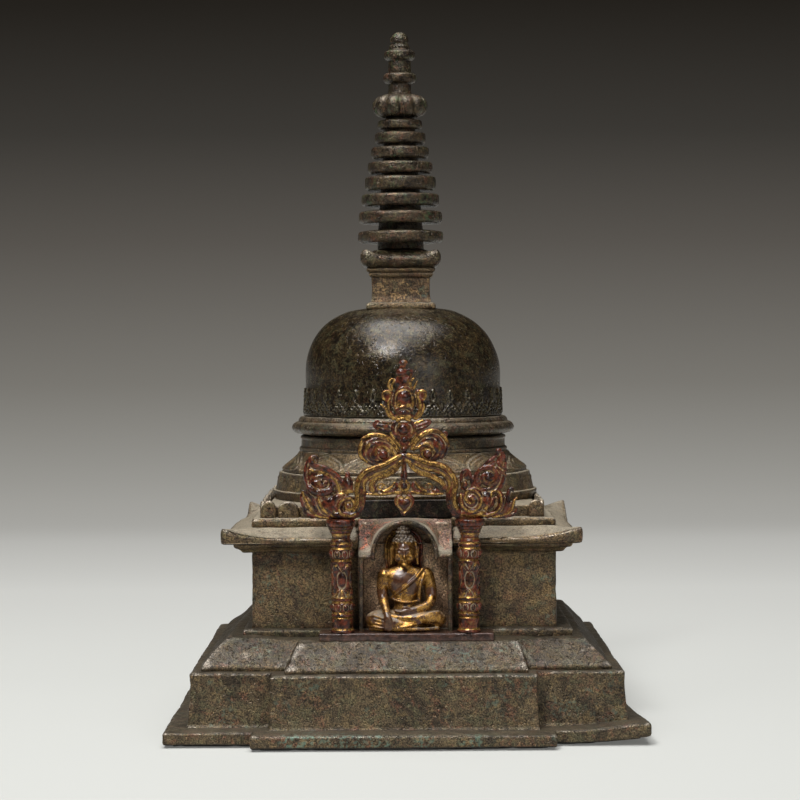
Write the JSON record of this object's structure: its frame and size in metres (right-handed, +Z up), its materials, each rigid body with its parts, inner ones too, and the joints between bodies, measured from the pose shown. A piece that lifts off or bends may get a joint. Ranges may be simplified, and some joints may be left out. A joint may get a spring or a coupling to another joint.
{
  "type": "votive stupa model",
  "caption": "Small cast bronze votive stupa with stepped square base, dome, ringed spire and a gilt arched porch before a niche with a seated figure.",
  "frame": {"origin": "on the shrine's upright axis, at the underside of the foot plate", "axes": "+Z up the spire, -Y towards the front with the niche and porch, +X to the viewer's right"},
  "size_m": [0.165, 0.1736, 0.25],
  "materials": {
    "bronze_base": "dark patinated bronze, matt, dusty on ledges",
    "bronze_dome": "dark patinated bronze, polished by handling",
    "bronze_spire": "dark patinated bronze with green and red specks",
    "porch_gilt": "worn gilding over dark red lacquer",
    "figure_gilt": "worn fire gilding"
  },
  "bodies": {
    "root": {"foot_plate": "bronze_base", "plinth": "bronze_base", "sloped_tier": "bronze_base", "step_plate": "bronze_base", "body_block": "bronze_base", "cornice_cove": "bronze_base", "eave_roof": "bronze_base", "petal_plate": "bronze_base", "petal_bed": "bronze_base", "petal_row": "bronze_base", "niche_housing": "bronze_base", "niche_attic": "bronze_base", "round_terrace": "bronze_base", "lotus_tier": "bronze_base", "drum": "bronze_base", "torus_ring": "bronze_base", "dome": "bronze_dome", "harmika_foot": "bronze_dome", "harmika_block": "bronze_spire", "harmika_cornice": "bronze_spire", "harmika_cap": "bronze_spire", "spire_core": "bronze_spire", "spire_ring_1": "bronze_spire", "spire_ring_2": "bronze_spire", "spire_ring_3": "bronze_spire", "spire_ring_4": "bronze_spire", "spire_ring_5": "bronze_spire", "spire_ring_6": "bronze_spire", "spire_ring_7": "bronze_spire", "spire_ring_8": "bronze_spire", "lotus_bulb": "bronze_spire", "finial_lower": "bronze_spire", "finial_upper": "bronze_spire", "porch_base": "porch_gilt", "pillar_left": "porch_gilt", "pillar_right": "porch_gilt", "porch_arch": "porch_gilt", "volute_left": "porch_gilt", "volute_right": "porch_gilt", "makara_left": "porch_gilt", "makara_right": "porch_gilt", "crest_bulb": "porch_gilt", "flame_jewel": "porch_gilt", "buddha_figure": "figure_gilt", "halo_rim": "figure_gilt"}
  },
  "joints": []
}
